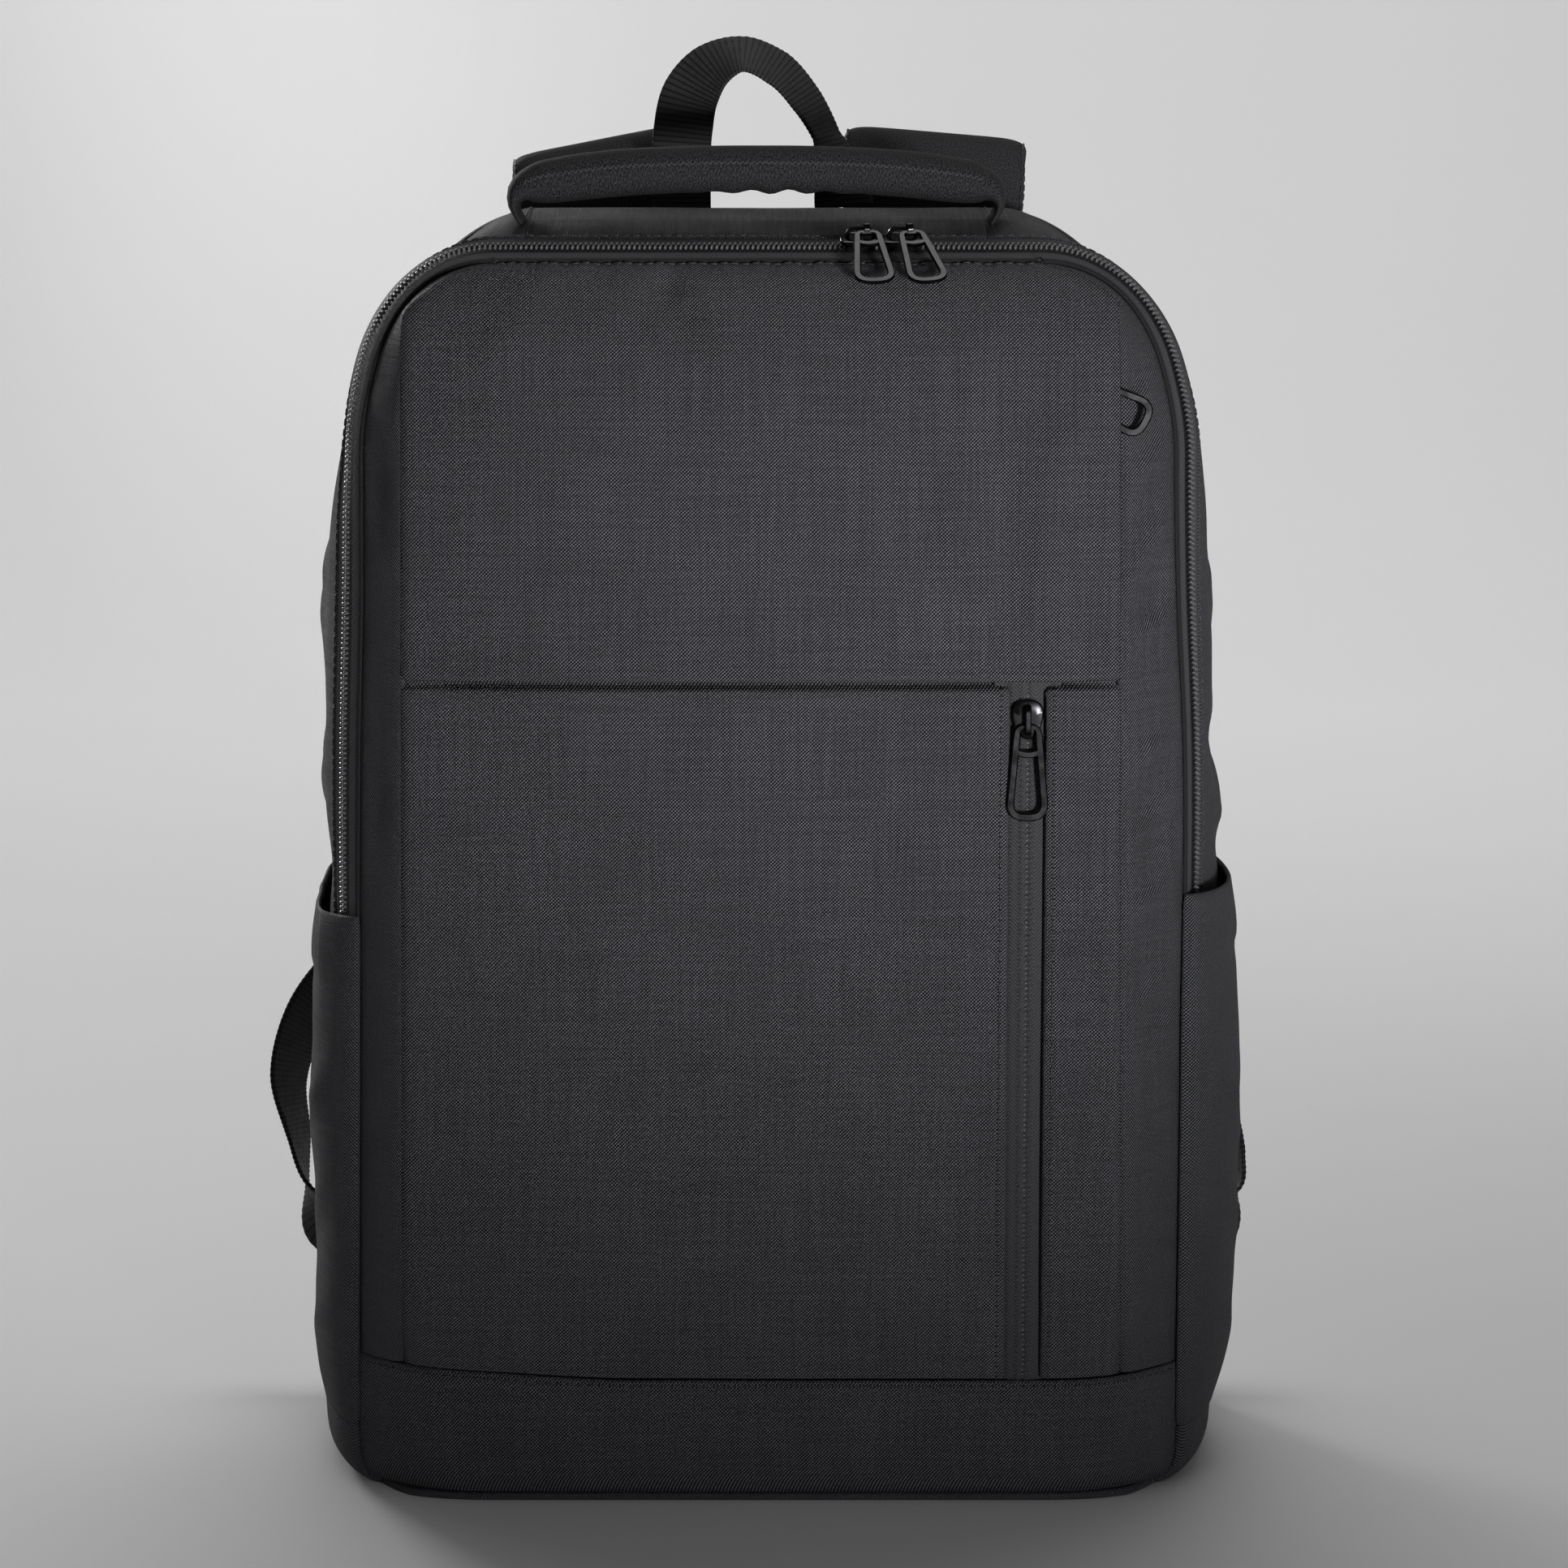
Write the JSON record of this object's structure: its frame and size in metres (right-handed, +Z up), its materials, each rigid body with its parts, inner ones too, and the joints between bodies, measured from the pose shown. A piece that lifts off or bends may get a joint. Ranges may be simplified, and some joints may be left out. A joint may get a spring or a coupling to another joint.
{
  "type": "laptop backpack",
  "caption": "Upright woven backpack with a zipped main compartment, an upright front zip, open side pockets, a carry handle, a hang loop and padded shoulder straps.",
  "frame": {"origin": "on the floor under the middle of the base panel", "axes": "+Z up, +X to the right of a viewer who faces the bag's front, the front faces -Y and the shoulder straps +Y"},
  "size_m": [0.3433, 0.1933, 0.4713],
  "materials": {
    "cloth": "matte woven",
    "side_cloth": "matte woven",
    "base_cloth": "matte woven",
    "padding": "matte woven over foam",
    "webbing": "ribbed webbing",
    "zip_tape": "matte twill",
    "zip_coil": "satin",
    "zip_metal": "satin black",
    "buckle": "matte"
  },
  "bodies": {
    "bag": {"front_face_upper": "cloth", "front_face_lower": "cloth", "front_zip_strip": "cloth", "front_facet_left": "cloth", "front_facet_right": "cloth", "bottom_band": "cloth", "gusset_left": "side_cloth", "gusset_right": "side_cloth", "top_panel": "side_cloth", "side_pocket_left": "side_cloth", "side_pocket_right": "side_cloth", "base_panel": "base_cloth", "back_panel": "padding", "shoulder_strap_left": "padding", "shoulder_strap_right": "padding", "carry_handle": "webbing", "hang_loop": "webbing", "strap_webbing_left": "webbing", "strap_webbing_right": "webbing", "strap_tab_left": "webbing", "strap_tab_right": "webbing", "main_zip_tape": "zip_tape", "front_zip_tape": "zip_tape", "main_zip_coil": "zip_coil", "front_zip_coil": "zip_coil", "main_slider_left": "zip_metal", "main_slider_right": "zip_metal", "front_slider": "zip_metal", "side_slider": "zip_metal", "side_pull": "zip_metal", "ladder_lock_left": "buckle", "ladder_lock_right": "buckle"},
    "main_pull_left": {"main_pull_left": "zip_metal"},
    "main_pull_right": {"main_pull_right": "zip_metal"},
    "front_pull": {"front_pull": "zip_metal"}
  },
  "joints": [
    {"name": "main_pull_left_swing", "type": "hinge", "parent": "bag", "child": "main_pull_left", "pos_m": [0.0296, -0.04448, 0.41565], "axis": [-0.9962, -0.0836, -0.0247], "range_deg": [0, 150]},
    {"name": "main_pull_right_swing", "type": "hinge", "parent": "bag", "child": "main_pull_right", "pos_m": [0.045, -0.04448, 0.41565], "axis": [-0.9781, -0.1994, -0.0589], "range_deg": [0, 150]},
    {"name": "front_pull_swing", "type": "hinge", "parent": "bag", "child": "front_pull", "pos_m": [0.0834, -0.07515, 0.259], "axis": [-1, 0, 0], "range_deg": [0, 160]}
  ]
}
